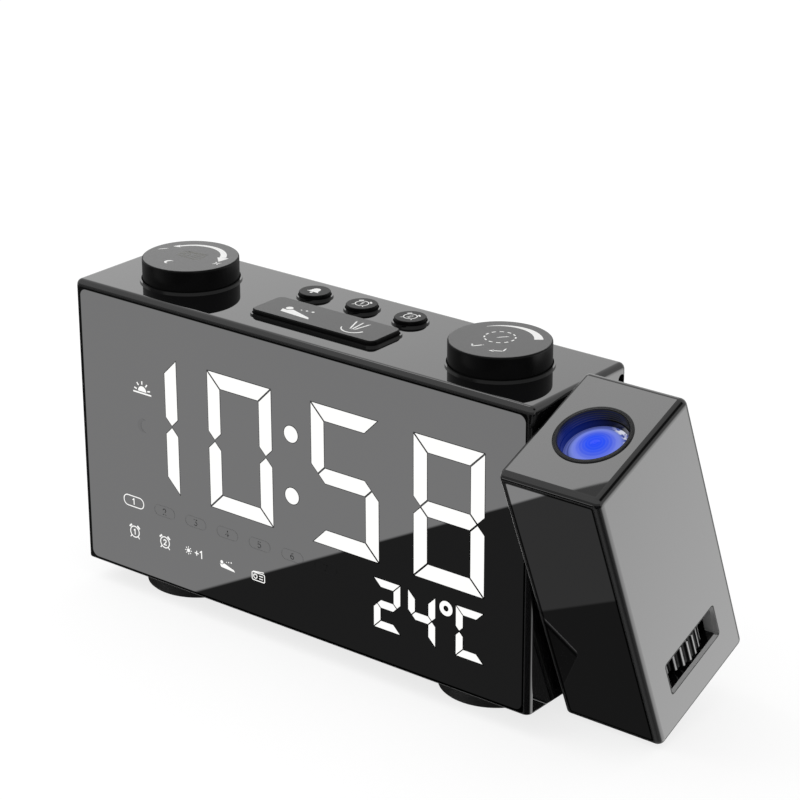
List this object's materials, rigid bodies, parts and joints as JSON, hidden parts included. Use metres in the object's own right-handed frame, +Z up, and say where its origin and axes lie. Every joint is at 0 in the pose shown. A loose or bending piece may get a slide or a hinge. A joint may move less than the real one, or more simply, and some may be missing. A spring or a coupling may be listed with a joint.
{
  "type": "projection alarm clock",
  "caption": "Slab-shaped mirror-front alarm clock on round feet, with two press knobs, a snooze bar and keys on top, and a swivelling projector head with a focus wheel.",
  "frame": {"origin": "on the plane that the feet stand on, midway along the whole clock's length and depth, with the head at its resting tilt", "axes": "+Z up, -Y out of the display, +X towards the projector head, along the swivel's axis"},
  "size_m": [0.1822, 0.0668, 0.0948],
  "materials": {
    "black_gloss": "high gloss",
    "mirror_tint": "dark tinted mirror",
    "black_satin": "fine satin",
    "key_satin": "satin",
    "foot_rubber": "matt",
    "white_plastic": "matt",
    "board_green": "solder mask",
    "steel": "plain",
    "spring_brass": "plain",
    "magnet_dark": "ferrite",
    "cone_paper": "pressed paper",
    "lens_glass": "polished",
    "led_white": "diffuse"
  },
  "bodies": {
    "clock_body": {"housing": "black_gloss", "mirror_panel": "mirror_tint", "back_cover": "black_satin", "digit_reflector": "white_plastic", "digit_board": "board_green", "key_board": "board_green", "main_board": "board_green", "foot_left": "foot_rubber", "foot_right": "foot_rubber", "speaker_basket": "black_satin", "speaker_magnet": "magnet_dark", "speaker_cone": "cone_paper", "dc_jack": "black_satin", "usb_socket": "steel", "coin_cell": "steel", "cell_contact": "spring_brass", "side_contact": "spring_brass", "friction_washer": "steel", "encoder_left": "steel", "encoder_right": "steel", "key_switch_1": "black_satin", "key_switch_2": "black_satin", "key_switch_3": "black_satin", "snooze_switch_left": "black_satin", "snooze_switch_right": "black_satin", "cover_screws": "steel"},
    "projector_head": {"head_housing": "black_gloss", "head_cover": "black_gloss", "head_panel": "mirror_tint", "hinge_hub": "black_satin", "hub_retainer": "black_satin", "lens_ring": "black_gloss", "lens_barrel": "black_satin", "lens": "lens_glass", "guide_rod_front": "steel", "guide_rod_back": "steel"},
    "focus_wheel_body": {"focus_wheel": "black_satin"},
    "focus_carriage_body": {"focus_carriage": "black_satin", "led_emitter": "led_white", "condenser_lens": "lens_glass", "time_mask": "lens_glass"},
    "left_knob_push": {"encoder_plunger_left": "white_plastic"},
    "left_knob": {"knob_left": "key_satin", "knob_shaft_left": "steel"},
    "right_knob_push": {"encoder_plunger_right": "white_plastic"},
    "right_knob": {"knob_right": "key_satin", "knob_shaft_right": "steel"},
    "snooze": {"snooze_bar": "key_satin", "snooze_plunger_left": "white_plastic", "snooze_plunger_right": "white_plastic"},
    "key_one": {"key_1": "key_satin", "key_plunger_1": "white_plastic"},
    "key_two": {"key_2": "key_satin", "key_plunger_2": "white_plastic"},
    "key_three": {"key_3": "key_satin", "key_plunger_3": "white_plastic"},
    "cell_door": {"battery_door": "black_satin"}
  },
  "joints": [
    {"name": "head_swivel", "type": "hinge", "parent": "clock_body", "child": "projector_head", "pos_m": [0.0613, 0.0018, 0.04222], "axis": [1, 0, 0], "range_deg": [-112, 68]},
    {"name": "focus_turn", "type": "hinge", "parent": "projector_head", "child": "focus_wheel_body", "pos_m": [0.08035, 0.0018, 0.04222], "axis": [0, -0.3746, 0.9272], "range_deg": [-150, 150]},
    {"name": "focus_travel", "type": "slide", "parent": "projector_head", "child": "focus_carriage_body", "axis": [0, -0.3746, 0.9272], "range_m": [-0.0025, 0.0025]},
    {"name": "left_knob_press", "type": "slide", "parent": "clock_body", "child": "left_knob_push", "axis": [0, 0, -1], "range_m": [0, 0.0008], "stiffness_N_per_m": 1000, "springref_m": -0.0006},
    {"name": "left_knob_turn", "type": "hinge", "parent": "left_knob_push", "child": "left_knob", "pos_m": [-0.0666, 0.0018, 0.0886], "axis": [0, 0, 1], "continuous": true},
    {"name": "right_knob_press", "type": "slide", "parent": "clock_body", "child": "right_knob_push", "axis": [0, 0, -1], "range_m": [0, 0.0008], "stiffness_N_per_m": 1000, "springref_m": -0.0006},
    {"name": "right_knob_turn", "type": "hinge", "parent": "right_knob_push", "child": "right_knob", "pos_m": [0.0368, 0.0018, 0.0886], "axis": [0, 0, 1], "continuous": true},
    {"name": "snooze_press", "type": "slide", "parent": "clock_body", "child": "snooze", "axis": [0, 0, -1], "range_m": [0, 0.0007], "stiffness_N_per_m": 800, "springref_m": -0.0006},
    {"name": "key_one_press", "type": "slide", "parent": "clock_body", "child": "key_one", "axis": [0, 0, -1], "range_m": [0, 0.0005], "stiffness_N_per_m": 600, "springref_m": -0.0006},
    {"name": "key_two_press", "type": "slide", "parent": "clock_body", "child": "key_two", "axis": [0, 0, -1], "range_m": [0, 0.0005], "stiffness_N_per_m": 600, "springref_m": -0.0006},
    {"name": "key_three_press", "type": "slide", "parent": "clock_body", "child": "key_three", "axis": [0, 0, -1], "range_m": [0, 0.0005], "stiffness_N_per_m": 600, "springref_m": -0.0006},
    {"name": "door_pull", "type": "slide", "parent": "clock_body", "child": "cell_door", "axis": [0, 1, 0], "range_m": [0, 0.012]}
  ],
  "couplings": [
    {"joint": "focus_turn", "follows": "focus_travel", "rad_per_m": 1047.2}
  ]
}
